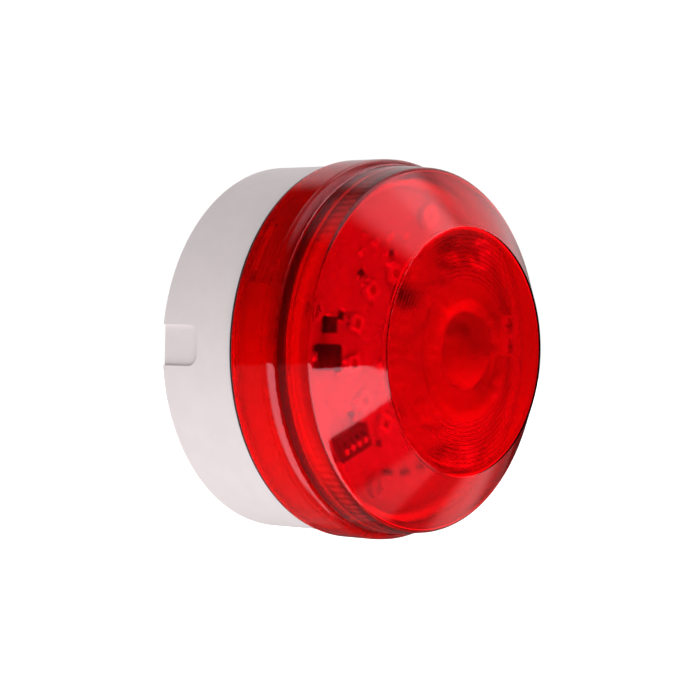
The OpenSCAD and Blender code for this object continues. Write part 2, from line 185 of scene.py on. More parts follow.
def make_camera():
    azimuth, elevation, roll = (
        math.radians(v) for v in (CAMERA_AZIMUTH, CAMERA_ELEVATION, CAMERA_ROLL)
    )
    flat = math.cos(elevation)
    back = Vector((math.sin(azimuth) * flat, -math.cos(azimuth) * flat, math.sin(elevation)))
    level_right = Vector((math.cos(azimuth), math.sin(azimuth), 0))
    level_up = back.cross(level_right)
    right = level_right * math.cos(roll) + level_up * math.sin(roll)
    up = level_up * math.cos(roll) - level_right * math.sin(roll)
    data = bpy.data.cameras.new("camera")
    data.lens = FOCAL_LENGTH
    data.sensor_width = SENSOR_WIDTH
    camera = bpy.data.objects.new("camera", data)
    bpy.context.scene.collection.objects.link(camera)
    turned = Matrix((right, up, back)).transposed().to_4x4()
    place = back * CAMERA_DISTANCE + right * AIM_RIGHT + up * AIM_UP
    camera.matrix_world = Matrix.Translation(place) @ turned
    bpy.context.scene.camera = camera


class Nodes:
    """Adds nodes to a node tree and wires them, so that a material reads like a formula."""

    def __init__(self, tree):
        self.tree = tree

    def add(self, kind, inputs=(), **settings):
        node = self.tree.nodes.new(kind)
        for name, value in settings.items():
            setattr(node, name, value)
        for key, value in dict(inputs).items():
            self.feed(node.inputs[key], value)
        return node

    def feed(self, socket, value):
        if isinstance(value, bpy.types.NodeSocket):
            self.tree.links.new(value, socket)
        else:
            socket.default_value = value

    def math(self, operation, a, b=0.0, c=0.0):
        return self.add("ShaderNodeMath", {0: a, 1: b, 2: c}, operation=operation).outputs[0]

    def step(self, value, low, high):
        """0 below low, 1 above high, smooth between."""
        node = self.add("ShaderNodeMapRange", {0: value, 1: low, 2: high})
        node.interpolation_type = "SMOOTHSTEP"
        return node.outputs[0]

    def mix(self, factor, a, b):
        node = self.add("ShaderNodeMix", data_type="RGBA")
        self.feed(node.inputs[0], factor)
        self.feed(node.inputs[6], a)
        self.feed(node.inputs[7], b)
        return node.outputs[2]


# The studio that lights and reflections see. Each panel is (azimuth from, azimuth to, elevation
# from, elevation to, softness of its edge, brightness), with angles in degrees; azimuth 0 is
# straight in front of the beacon and 90 on its right.
PANELS = {
    "front_box": (8, 66, 6, 40, 4, 3.6),
    "box_top": (6, 76, 43, 66, 9, 1.2),
    "box_corner": (44, 74, 42, 62, 8, 0.7),
    "backdrop": (78, 152, 4, 50, 8, 0.6),
    "low_right": (84, 104, -40, -16, 6, 0.35),
    "overhead": (-180, 180, 62, 90, 14, 1.15),
    "table_front": (16, 54, -72, -46, 6, 0.4),
}
# Panels that light matt surfaces and the inside but aren't mirrored in the gloss
SOFT_PANELS = {
    "left_fill": (-112, -44, -14, 42, 7, 0.86),
    "top_fill": (-180, 180, 64, 90, 14, 0.45),
}
STUDIO_TINT = (1, 0.965, 0.975, 1)
ROOM_LIGHT = 0.012
# The table is everything below the horizon. Seen from above, the straight edge of the card on it
# has a turn in degrees and a distance from the beacon, in units of the table's depth below it;
# LEAST_DEPTH keeps that finite near the horizon.
HORIZON = -8.3
HORIZON_SOFT = 0.15
CARD_TURN = 29.3
CARD_EDGE = 0.285
CARD_SOFT = 0.002
CARD_LIGHT = 3.0
TABLE_LIGHT = 0.1
DIM_TABLE = 0.05
LEAST_DEPTH = 0.02
# Each fade is the two angles between which a light rises from nothing to its full strength
CARD_FAR_FADE = (-110, -80)
CARD_NEAR_FADE = (90, 40)
CARD_FOOT_FADE = (-90, -70)
# What light that comes through the lens gains, all round and from the table below
THROUGH_LENS = 1.55
THROUGH_ROOM = 0.3
THROUGH_TABLE = 2.3
THROUGH_TABLE_FADE = (10, -50)
# Matt surfaces take less of the card and more of the table than the gloss shows
MATT_CARD = 0.12
MATT_TABLE = 0.4
MATT_TABLE_FADE = (0, -35)
CAMERA_WHITE = 1.02


def panel_light(n, azimuth, elevation, unseen):
    """The room's and the panels' brightness in a direction; unseen is 0 where gloss looks."""
    total = ROOM_LIGHT
    panels = [(values, 1.0) for values in PANELS.values()]
    panels += [(values, unseen) for values in SOFT_PANELS.values()]
    for (low, high, bottom, top, soft, light), seen in panels:
        middle, half = (low + high) / 2, (high - low) / 2
        aside = n.add("ShaderNodeMath", {0: n.math("SUBTRACT", azimuth, middle), 1: 180, 2: -180},
                      operation="WRAP").outputs[0]
        across = n.step(n.math("ABSOLUTE", aside), half + soft, half - soft) if half < 180 else 1.0
        above = n.step(elevation, bottom - soft, bottom + soft)
        under = 1.0 if top >= 90 else n.step(elevation, top + soft, top - soft)
        share = n.math("MULTIPLY", n.math("MULTIPLY", across, above), n.math("MULTIPLY", under, seen))
        total = n.math("MULTIPLY_ADD", share, light, total)
    return total


def table_light(n, x, front, z, azimuth, elevation, matt):
    """The table's brightness, with a bright card on it whose edge runs out to the front left."""
    depth = n.math("MAXIMUM", n.math("MULTIPLY", z, -1), LEAST_DEPTH)
    turn = math.radians(CARD_TURN)
    edge = n.math("ADD", n.math("MULTIPLY", n.math("DIVIDE", x, depth), math.cos(turn)),
                  n.math("MULTIPLY", n.math("DIVIDE", front, depth), math.sin(turn)))
    left = n.step(edge, CARD_EDGE + CARD_SOFT, CARD_EDGE - CARD_SOFT)
    card = n.math("MULTIPLY", left, n.step(azimuth, *CARD_FAR_FADE))
    card = n.math("MULTIPLY", card, n.step(azimuth, *CARD_NEAR_FADE))
    card = n.math("MULTIPLY", card, n.step(elevation, *CARD_FOOT_FADE))
    card = n.math("MULTIPLY", card, n.math("MULTIPLY_ADD", matt, MATT_CARD - 1, 1))
    table = n.math("MULTIPLY_ADD", card, CARD_LIGHT, n.math("MULTIPLY", left, TABLE_LIGHT))
    return n.math("ADD", table, DIM_TABLE)


def make_world():
    """A studio seen only in light and reflections; the camera sees plain white behind the object."""
    world = bpy.data.worlds.new("studio")
    bpy.context.scene.world = world
    world.use_nodes = True
    world.node_tree.nodes.clear()
    n = Nodes(world.node_tree)
    direction = n.add("ShaderNodeTexCoord").outputs["Generated"]
    x, y, z = n.add("ShaderNodeSeparateXYZ", {0: direction}).outputs
    front = n.math("MULTIPLY", y, -1)
    azimuth = n.math("DEGREES", n.math("ARCTAN2", x, front))
    elevation = n.math("DEGREES", n.math("ARCSINE", z))
    path = n.add("ShaderNodeLightPath")
    matt = path.outputs["Is Diffuse Ray"]
    unseen = n.math("SUBTRACT", 1, path.outputs["Is Glossy Ray"])
    total = panel_light(n, azimuth, elevation, unseen)
    below = n.step(elevation, HORIZON + HORIZON_SOFT, HORIZON - HORIZON_SOFT)
    table = table_light(n, x, front, z, azimuth, elevation, matt)
    total = n.math("MULTIPLY_ADD", table, below, total)
    # What light that comes through the lens sees
    from_below = n.math("MULTIPLY", n.step(elevation, *THROUGH_TABLE_FADE), THROUGH_TABLE)
    inside = n.math("MULTIPLY_ADD", total, THROUGH_LENS, n.math("ADD", from_below, THROUGH_ROOM))
    crossing = path.outputs["Is Transmission Ray"]
    total = n.math("MULTIPLY_ADD", crossing, n.math("SUBTRACT", inside, total), total)
    # What matt surfaces gain from the table
    matt_below = n.math("MULTIPLY", matt, n.step(elevation, *MATT_TABLE_FADE))
    total = n.math("MULTIPLY_ADD", matt_below, MATT_TABLE, total)
    light = n.add("ShaderNodeBackground", {"Color": STUDIO_TINT, "Strength": total})
    white = n.add("ShaderNodeBackground", {"Color": (1, 1, 1, 1), "Strength": CAMERA_WHITE})
    both = n.add("ShaderNodeMixShader",
                 {0: path.outputs["Is Camera Ray"], 1: light.outputs[0], 2: white.outputs[0]})
    out = n.add("ShaderNodeOutputWorld")
    n.feed(out.inputs["Surface"], both.outputs[0])


def make_floor():
    """A plain pale floor that only the camera sees, lit by its own lamp."""
    mesh = bpy.data.meshes.new("floor")
    signs = ((-1, -1), (1, -1), (1, 1), (-1, 1))
    corners = [(x * FLOOR_HALF, y * FLOOR_HALF, FLOOR_Z) for x, y in signs]
    mesh.from_pydata(corners, [], [(0, 1, 2, 3)])
    floor = link("floor", mesh)
    material = bpy.data.materials.new("floor")
    material.use_nodes = True
    shader = material.node_tree.nodes["Principled BSDF"]
    shader.inputs["Base Color"].default_value = FLOOR_GREY
    shader.inputs["Roughness"].default_value = 1
    shader.inputs["Specular IOR Level"].default_value = 0
    mesh.materials.append(material)
    floor.visible_diffuse = False
    floor.visible_glossy = False
    floor.visible_transmission = False
    floor.visible_shadow = False
    receivers = bpy.data.collections.new("floor_only")
    receivers.objects.link(floor)
    lamp_data = bpy.data.lights.new("floor_lamp", "SUN")
    lamp_data.energy = FLOOR_LIGHT
    lamp_data.angle = math.radians(FLOOR_LIGHT_SPREAD)
    lamp = bpy.data.objects.new("floor_lamp", lamp_data)
    bpy.context.scene.collection.objects.link(lamp)
    lamp.light_linking.receiver_collection = receivers
    lamp.light_linking.blocker_collection = receivers


# ---------------------------------------------------------------- materials
# The lens mesh's attribute that says how strong its moulded texture is at each point, and that
# texture's grain and relief, in millimetres
TEXTURE = "mould_texture"
TEXTURE_GRAIN = 0.12
TEXTURE_RELIEF = 0.1
# The soft unevenness of the whole moulding, in millimetres
RIPPLE_SIZE = 9
RIPPLE_RELIEF = 0.02
# The red that is left of the light in the plastic, and how fast it absorbs, per metre
RED_KEPT = (0.998, 0.005, 0.35, 1)
RED_DENSITY = 3400


def new_material(name):
    material = bpy.data.materials.new(name)
    material.use_nodes = True
    nodes = Nodes(material.node_tree)
    shader = material.node_tree.nodes["Principled BSDF"]
    place = nodes.add("ShaderNodeTexCoord").outputs["Object"]
    return material, nodes, shader, place


def noise(n, place, size_mm, detail=3, roughness=0.5):
    """A noise value from 0 to 1 with features of about that size."""
    node = n.add("ShaderNodeTexNoise", {"Vector": place, "Scale": 1 / (size_mm * MM)})
    node.inputs["Detail"].default_value = detail
    node.inputs["Roughness"].default_value = roughness
    return node.outputs[0]


def bump(n, height, depth_mm, strength=1.0):
    node = n.add("ShaderNodeBump", {"Height": height, "Strength": strength, "Distance": depth_mm * MM})
    return node.outputs[0]


def opaque(name, colour, roughness, spread=0.06, grain_mm=0.25, relief_mm=0.01, metal=0.0, patch_mm=6):
    """A moulded or metal surface: its colour drifts in soft patches and it has a fine grain."""
    material, n, shader, place = new_material(name)
    patches = noise(n, place, patch_mm)
    grain = noise(n, place, grain_mm, detail=4)
    dark = tuple(c * (1 - spread) for c in colour) + (1,)
    light = tuple(min(1, c * (1 + spread)) for c in colour) + (1,)
    n.feed(shader.inputs["Base Color"], n.mix(n.step(patches, 0.3, 0.7), dark, light))
    rough = n.add("ShaderNodeMapRange", {0: grain, 3: roughness * 0.85, 4: min(1, roughness * 1.15)})
    n.feed(shader.inputs["Roughness"], rough.outputs[0])
    n.feed(shader.inputs["Normal"], bump(n, grain, relief_mm))
    shader.inputs["Metallic"].default_value = metal
    return material


def make_red_lens():
    """Clear red: polished outside, with a fine moulded texture on the inner faces that blurs what
    is behind them."""
    material, n, shader, place = new_material("red_polycarbonate")
    ripple = noise(n, place, RIPPLE_SIZE, detail=2)
    tint = n.mix(ripple, (1, 0.99, 0.99, 1), (0.97, 0.96, 0.96, 1))
    n.feed(shader.inputs["Base Color"], tint)
    shader.inputs["Roughness"].default_value = 0.03
    shader.inputs["IOR"].default_value = 1.58
    shader.inputs["Specular Tint"].default_value = (1, 0.62, 0.72, 1)
    shader.inputs["Transmission Weight"].default_value = 1
    texture = n.add("ShaderNodeAttribute", attribute_name=TEXTURE).outputs["Fac"]
    grain = bump(n, noise(n, place, TEXTURE_GRAIN, detail=1), TEXTURE_RELIEF, texture)
    soft = n.add("ShaderNodeBump", {"Height": ripple, "Strength": 0.4,
                                    "Distance": RIPPLE_RELIEF * MM, "Normal": grain})
    n.feed(shader.inputs["Normal"], soft.outputs[0])
    absorb = n.add("ShaderNodeVolumeAbsorption")
    absorb.inputs["Color"].default_value = RED_KEPT
    absorb.inputs["Density"].default_value = RED_DENSITY
    out = [x for x in material.node_tree.nodes if x.type == "OUTPUT_MATERIAL"][0]
    n.feed(out.inputs["Volume"], absorb.outputs[0])
    return material


MATERIALS = {
    "white_shell": opaque("white_abs", (0.80, 0.745, 0.742), 0.55, 0.015, 0.22, 0.008),
    "seal_rubber": opaque("black_rubber", (0.014, 0.013, 0.014), 0.6, 0.2, 0.3, 0.02),
    "white_board": opaque("white_solder_mask", (0.52, 0.52, 0.5), 0.35, 0.04, 0.15, 0.006),
    "led_package": opaque("led_white_plastic", (0.78, 0.76, 0.7), 0.4, 0.04),
    "led_window": opaque("led_phosphor", (0.3, 0.22, 0.04), 0.2, 0.12, 0.3, 0.004),
    "switch_body": opaque("switch_plastic", (0.015, 0.017, 0.026), 0.45, 0.15),
    "switch_slider": opaque("slider_plastic", (0.8, 0.8, 0.78), 0.4, 0.04),
    "chip_black": opaque("epoxy", (0.016, 0.016, 0.018), 0.55, 0.2),
    "tinned_metal": opaque("tin", (0.72, 0.72, 0.72), 0.25, 0.08, metal=1),
    "ferrite": opaque("ferrite", (0.012, 0.012, 0.012), 0.7, 0.3),
    "can_aluminium": opaque("aluminium", (0.7, 0.71, 0.73), 0.28, 0.05, metal=1),
    "chip_ceramic": opaque("ceramic", (0.4, 0.28, 0.16), 0.45, 0.1),
    "terminal_grey": opaque("polyamide", (0.52, 0.53, 0.54), 0.45, 0.05),
    "plated_steel": opaque("zinc_plate", (0.62, 0.62, 0.64), 0.32, 0.08, metal=1),
    "terminal_metal": opaque("nickel_brass", (0.66, 0.6, 0.42), 0.3, 0.08, metal=1),
    "red_lens": make_red_lens(),
}


def finish_as(piece, slot, body):
    piece.data.materials.clear()
    piece.data.materials.append(MATERIALS[slot])
    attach(piece, body)
    return piece


# ---------------------------------------------------------------- lens
# Walls: the rear of the drum, the cone with the front of the drum, and the disc
WALL = 2.2
CONE_WALL = 1.1
FRONT_WALL = 1.2
# Collar: its rear edges, its straight side, and a shallow crease where its front begins
COLLAR_INNER_R = 46.0
COLLAR_FRONT = 35.6
REAR_EDGE = 0.25
REAR_CHAMFER = 0.1
SIDE_END = 1.1
CREASE_BACK = 0.8
CREASE_LENGTH = 0.75
CREASE_DEPTH = 0.12
# The bead in front of the crease, and the groove between it and the drum
SHOULDER_R = 47.5
SHOULDER_FRONT = 38.5
BEAD_H = 2.25
BEAD_POWER = 1.35
GROOVE_W = 0.7
GROOVE_DEPTH = 0.5
# Drum, cone and disc, and how round the edges between them are, outside and inside
DRUM_BACK_R = 47.4
DRUM_FRONT_R = 46.4
CONE_START = 48.4
DISC_R = 31.4
EDGE_ROUND = 1.8
CORNER = 0.1
INNER_EDGE = 0.9
# Shares of the cone's slope and distances in from the disc's edge that hold extra points, which
# keep the shading of the flat stretches flat right up to the edges
CONE_SUPPORTS = (0.07, 0.1, 0.5, 0.97, 0.99, 0.996)
DISC_SUPPORTS = (0.09, 0.2)
DISC_RINGS = (24, 12, 5, 0)
# The step inside that faces the spigot's front, and the bayonet lugs in the collar
STEP_Z = SPIGOT_TOP + 0.3
STEP_CHAMFER = 0.3
DRUM_FOOT = 0.5
LUG_Z = LENS_BACK + 1
LUG_T = 2.4
LUG_R = 44.2
LUG_START = 20
LUG_SPAN = 20
LUG_SLOPE = 4
LUG_EDGE = 0.5
# The flat gap that keeps a lug or a step sharp in the mesh
SEAM = 0.02
# Ribs along the inside of the drum, between two shares of the way from the cone to the step, and
# the shares at which the section has a point
RIB_COUNT = 120
RIB_DEPTH = 0.04
STEPS_PER_RIB = 4
RIBBED = (0.25, 0.9)
DRUM_SHARES = (0.08, 0.2, 0.3, 0.5, 0.7, 0.88, 0.94, 1.0)
# Optics inside the disc: a bullseye, a convex ring round it, then fine saw-toothed rings
EYE_R = 10
EYE_BULGE = 0.4
OPTIC_RING_R = 18
OPTIC_RING_BULGE = 0.25
OPTIC_STEPS = 12
FINE_RING_PITCH = 1.1
FINE_RING_DEPTH = 0.08
RING_MARGIN = 0.6
# Each saw tooth begins and ends this far from its neighbours, and these shares of its depth lie
# behind and in front of the disc's inner face
SAW_START, SAW_END = 0.06, 0.04
SAW_BACK, SAW_FRONT = 0.35, 0.65
# Grooves round the inside of the cone
CONE_GROOVE_PITCH = 1.3
CONE_GROOVE_DEPTH = 0.08

# How strongly the moulded texture shows on each stretch of the lens's section
TEXTURES = {
    "plain": 0, "eye": 0.1, "rings": 0.1, "cone": 0.08, "rib": 0.2, "drum": 0.2,
    "collar": 1.0, "lug": 1.0,
}


def soft_corner(before, corner, after, radius, steps=5):
    """The points that round one corner of an outline."""
    here = Vector(corner)
    a = (Vector(before) - here).normalized()
    b = (Vector(after) - here).normalized()
    cut = radius / math.tan(a.angle(b) / 2)
    first, last = here + a * cut, here + b * cut
    found = []
    for k in range(steps + 1):
        t = k / steps
        p = first * (1 - t) ** 2 + here * 2 * t * (1 - t) + last * t ** 2
        found.append((p.x, p.y))
    return found


def outer_outline():
    """The outside of the lens as (r, z), from the collar's rear inner corner to the disc's centre."""
    run = DRUM_FRONT_R - DISC_R
    rise = LENS_FRONT - CONE_START
    points = [(COLLAR_INNER_R + REAR_CHAMFER, LENS_BACK), (COLLAR_R - REAR_EDGE, LENS_BACK)]
    points += arc(COLLAR_R - REAR_EDGE, LENS_BACK + REAR_EDGE, REAR_EDGE, -90, 0, 4)[1:]
    points += [(COLLAR_R, LENS_BACK + 2 * REAR_EDGE), (COLLAR_R, COLLAR_FRONT - SIDE_END)]
    for i in range(7):
        share = i / 6
        points.append((
            COLLAR_R - CREASE_DEPTH * (0.5 - 0.5 * math.cos(math.pi * share)),
            COLLAR_FRONT - CREASE_BACK + CREASE_LENGTH * share,
        ))
    # The bead is a nearly straight bevel that ends at the groove
    bead_z = SHOULDER_FRONT - BEAD_H
    for i in range(1, 13):
        a = math.radians(90 * i / 12)
        points.append((
            SHOULDER_R + (COLLAR_R - CREASE_DEPTH - SHOULDER_R) * math.cos(a) ** BEAD_POWER,
            bead_z + BEAD_H * math.sin(a) ** BEAD_POWER,
        ))
    points += [
        (SHOULDER_R - GROOVE_DEPTH, SHOULDER_FRONT + GROOVE_W * 0.2),
        (SHOULDER_R - GROOVE_DEPTH, SHOULDER_FRONT + GROOVE_W * 0.6),
        (DRUM_BACK_R, SHOULDER_FRONT + GROOVE_W * 0.85),
        (DRUM_BACK_R - SEAM, SHOULDER_FRONT + GROOVE_W + 0.15),
        (DRUM_FRONT_R + 0.15, CONE_START - 1.5),
    ]
    drum_back = (DRUM_BACK_R, SHOULDER_FRONT + GROOVE_W)
    drum_corner = (DRUM_FRONT_R, CONE_START)
    disc_corner = (DISC_R, LENS_FRONT)
    points += soft_corner(drum_back, drum_corner, disc_corner, EDGE_ROUND, 8)
    points += [(DRUM_FRONT_R - run * share, CONE_START + rise * share) for share in CONE_SUPPORTS]
    points += soft_corner(drum_corner, disc_corner, (0, LENS_FRONT), CORNER)
    points += [(DISC_R - distance, LENS_FRONT) for distance in DISC_SUPPORTS]
    points += [(r, LENS_FRONT) for r in DISC_RINGS]
    return points


def optics_outline(inner_front, corner_r):
    """The disc's inner face as (r, z, kind), from its centre out to the cone."""
    points = []
    sphere_r = (EYE_R ** 2 + EYE_BULGE ** 2) / (2 * EYE_BULGE)
    for i in range(OPTIC_STEPS + 1):
        r = EYE_R * i / OPTIC_STEPS
        drop = math.sqrt(sphere_r ** 2 - r ** 2)
        points.append((r, inner_front - EYE_BULGE + sphere_r - drop, "eye"))
    for i in range(1, OPTIC_STEPS + 1):
        r = EYE_R + (OPTIC_RING_R - EYE_R) * i / OPTIC_STEPS
        points.append((r, inner_front - OPTIC_RING_BULGE * math.sin(math.pi * i / OPTIC_STEPS), "eye"))
    low, high = OPTIC_RING_R, corner_r - RING_MARGIN
    count = int((high - low) / FINE_RING_PITCH)
    for i in range(count):
        start = low + (high - low) * i / count
        end = low + (high - low) * (i + 1) / count
        points.append((start + SAW_START, inner_front - FINE_RING_DEPTH * SAW_BACK, "rings"))
        points.append((end - SAW_END, inner_front + FINE_RING_DEPTH * SAW_FRONT, "rings"))
    return points


def lens_outline():
    """The lens's section as (r, z, kind): over its outside, then back along its inside."""
    run = DRUM_FRONT_R - DISC_R
    rise = LENS_FRONT - CONE_START
    length = math.hypot(run, rise)
    inner_front = LENS_FRONT - FRONT_WALL
    inner_cone_r = DRUM_FRONT_R - CONE_WALL * rise / length
    inner_cone_z = CONE_START - CONE_WALL * run / length

    def cone_z_at(r):
        return inner_cone_z + (inner_cone_r - r) * rise / run

    corner_r = inner_cone_r - (inner_front - inner_cone_z) * run / rise
    points = [(r, z, "plain") for r, z in outer_outline()]
    points += optics_outline(inner_front, corner_r)
    points.append((corner_r, inner_front, "cone"))

    drum_r = DRUM_FRONT_R - CONE_WALL
    steps = int((drum_r - corner_r) * length / run / CONE_GROOVE_PITCH) * 2
    for i in range(1, steps - 1):
        r = corner_r + (drum_r - corner_r) * i / steps
        depth = CONE_GROOVE_DEPTH if i % 2 else 0
        points.append((r + depth * rise / length, cone_z_at(r) + depth * run / length, "cone"))
    top = cone_z_at(drum_r)
    rib_low = STEP_Z + DRUM_FOOT
    bend = soft_corner((corner_r, cone_z_at(corner_r)), (drum_r, top), (drum_r, rib_low), INNER_EDGE, 6)
    points += [(r, z, "drum") for r, z in bend]
    for share in DRUM_SHARES:
        z = top + (rib_low - top) * share
        kind = "rib" if RIBBED[0] < share < RIBBED[1] else "drum"
        points.append((drum_r + (DRUM_BACK_R - WALL - drum_r) * share, z, kind))
    points += [
        (DRUM_BACK_R - WALL + SEAM, STEP_Z + STEP_CHAMFER, "drum"),
        (COLLAR_INNER_R - STEP_CHAMFER, STEP_Z, "collar"),
        (COLLAR_INNER_R, STEP_Z - STEP_CHAMFER, "collar"),
        (COLLAR_INNER_R, LUG_Z + LUG_T + SEAM, "collar"),
        (COLLAR_INNER_R, LUG_Z + LUG_T - LUG_EDGE, "lug"),
        (COLLAR_INNER_R, LUG_Z + LUG_EDGE, "lug"),
        (COLLAR_INNER_R, LUG_Z - SEAM, "collar"),
        (COLLAR_INNER_R, LENS_BACK + REAR_CHAMFER, "collar"),
    ]
    return points


def lug_share(angle):
    """1 along a bayonet lug, 0 clear of it, with a short slope at each end."""
    inside = (angle - LUG_START) % 120
    return max(0, min(1, inside / LUG_SLOPE, (LUG_SPAN - inside) / LUG_SLOPE))


def make_lens():
    outline = lens_outline()

    def shift(i, angle):
        kind = outline[i][2]
        if kind == "rib":
            wave = 0.5 + 0.5 * math.cos(math.radians(angle * RIB_COUNT))
            return -RIB_DEPTH * wave, 0
        if kind == "lug":
            return (LUG_R - COLLAR_INNER_R) * lug_share(angle), 0
        return 0, 0

    steps = RIB_COUNT * STEPS_PER_RIB
    shape = Shape()
    lathe(shape, [(r, z) for r, z, kind in outline], even_angles(steps), shift=shift)
    lens = shape.make("lens_clear_red", 28)
    strength = []
    for r, z, kind in outline:
        strength += [TEXTURES[kind]] * (steps if r > ON_AXIS else 1)
    lens.data.attributes.new(TEXTURE, "FLOAT", "POINT").data.foreach_set("value", strength)
    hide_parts("lens")
    finish_as(lens, "red_lens", "lens")


# ---------------------------------------------------------------- parts on the board
def rect_ring(length, width, z, corners=0.2, inset=0.0, steps=5):
    """A rounded rectangle's points at height z. corners is one radius or one for each corner."""
    radii = corners if isinstance(corners, tuple) else (corners,) * 4
    found = []
    for k, radius in enumerate(radii):
        sx, sy = ((1, 1), (-1, 1), (-1, -1), (1, -1))[k]
        radius = max(radius - inset, 0.01)
        cx = sx * (length / 2 - inset - radius)
        cy = sy * (width / 2 - inset - radius)
        for i in range(steps + 1):
            a = math.radians(90 * k + 90 * i / steps)
            found.append((cx + radius * math.cos(a), cy + radius * math.sin(a), z))
    return found


def circle_like(ring, radius, z):
    """The points of a circle in the same directions as a ring's points."""
    found = []
    for x, y, _ in ring:
        reach = math.hypot(x, y)
        found.append((x / reach * radius, y / reach * radius, z))
    return found


def stack(shape, rings, place):
    """Joins rings of equal length into a closed body with flat ends."""
    points = [p for ring in rings for p in ring]
    count = len(rings[0])
    faces = [list(range(count))[::-1], [len(points) - count + i for i in range(count)]]
    for k in range(len(rings) - 1):
        for i in range(count):
            j = (i + 1) % count
            faces.append([k * count + i, k * count + j, (k + 1) * count + j, (k + 1) * count + i])
    shape.add(points, faces, place)


def soft_box(shape, length, width, low, high, place, corners=0.12, bevel=0.1, draft=0.0):
    """A moulded box: rounded upright corners, a rounded top edge and drawn-in sides."""
    stack(shape, [
        rect_ring(length, width, low, corners, draft, 3),
        rect_ring(length, width, (low + high) / 2, corners, 0, 3),
        rect_ring(length, width, high - bevel, corners, draft, 3),
        rect_ring(length, width, high - bevel * 0.3, corners, draft + bevel * 0.3, 3),
        rect_ring(length, width, high, corners, draft + bevel, 3),
    ], place)


def gull_wing(shape, reach, width, shoulder, thick, place):
    """One formed lead: out along local X from the body's side, down and out to its foot."""
    bend = thick * 1.2
    path = [(0, shoulder), (reach * 0.36, shoulder), (reach * 0.46, shoulder - bend * 0.4),
            (reach * 0.56, bend * 1.1), (reach * 0.66, bend * 0.6), (reach, bend * 0.5)]
    rings = []
    for i, (x, z) in enumerate(path):
        before = Vector(path[max(i - 1, 0)])
        after = Vector(path[min(i + 1, len(path) - 1)])
        along = (after - before).normalized()
        nx, nz = -along.y * thick / 2, along.x * thick / 2
        rings.append([(x + nx, -width / 2, z + nz), (x + nx, width / 2, z + nz),
                      (x - nx, width / 2, z - nz), (x - nx, -width / 2, z - nz)])
    stack(shape, rings, place)


# LEDs: the package, its round cup, and how far its leads stand to either side. The two rings are
# (count, radius, first angle).
LED_SIDE = 4.2
LED_H = 1.7
LED_CORNERS = (0.3, 0.3, 0.3, 0.9)
LED_CUP_R = 1.66
LED_CUP_FLOOR = 0.9
LED_CUP_FOOT = 0.3
LED_LEAD_OFFSET = 1.1
OUTER_LEDS = (12, 19.7, 11)
INNER_LEDS = (5, 7, 68.6)
# Chip parts: length, width and height, and the ring or the (radius, angles) that they lie on
CHIP_RING_R = OUTER_LEDS[1] + 5.3
CHIP_L, CHIP_W, CHIP_H = 3.2, 1.6, 0.6
CERAMIC_RING = (29, (88, 100, 112, 124))
CERAMIC_L, CERAMIC_W, CERAMIC_H = 1.25, 2, 0.9
CAP_L = 0.4
# Power parts: the transistors' (radius, angles) and size, and how high a body with formed leads
# stands off the board; then (x, y, length, width, height) of two single parts
TRANSISTOR_RING = (31.5, (262, 275, 288))
TRANSISTOR_L, TRANSISTOR_W, TRANSISTOR_TOP = 2.9, 1.3, 1.15
TRANSISTOR_PITCH = 0.97
STAND_OFF = 0.15
INDUCTOR = (-30.6, -2.1, 7, 6.4, 4)
INDUCTOR_CORNER = 0.9
RECTIFIER = (-28.8, 5.9, 3.7, 4.2, 2)
# Capacitor cans: (x, y, radius, height), their bases, the crimp above the base, the round edge
# and the dish of the top, and the scored grooves in it
CANS = ((22, 24, 4, 7.2), (20, -26.5, 3.15, 5.8))
CAN_TURN = 30
CAN_BASE_H = 1
CAN_BASE_RIM = 0.25
CAN_BASE_CORNERS = (1.3, 1.3, 0.2, 0.2)
CRIMP_Z = 1.85
CRIMP_R = 0.3
CAN_ROUND = 0.4
CAN_DISH = 0.04
SCORE_SHARES = (0.7, 0.6, 0.5, 0.4, 0.3, 0.2, 0.1, 0)
SCORE_HALF_W = 0.22
SCORE_DEPTH = 0.12
# The board's surface: the thickness of its metal and print, the tracks that run round it as
# (radius, first angle, last angle), and how many vias are spread between two radii
FILM = 0.04
TRACK_ARCS = (
    (16.3, 95, 415), (23.1, 15, 350), (27.4, 100, 430), (33.6, 30, 152),
    (33.6, 190, 255), (38.6, 80, 160), (38.6, 172, 250), (38.6, 262, 340),
)
TRACK_W = 0.9
# The short tracks at each LED: (turn, and where they begin and end out from the LED's ring)
TRACK_LINKS = ((-7, 1.5, 5.6), (8, -5.2, -1.4))
LINK_W = 0.7
PRINT_W = 0.16
VIA_COUNT = 150
VIA_RADII = (9.5, 39.5)
VIA_HOLE_R, VIA_R = 0.16, 0.34


def ring_places(count, radius, start):
    """Places on the board, evenly round a circle from its first angle."""
    return [on_ring(radius, start + i * 360 / count, BOARD_TOP) for i in range(count)]


def led_places():
    return [at(0, 0, BOARD_TOP)] + ring_places(*INNER_LEDS) + ring_places(*OUTER_LEDS)


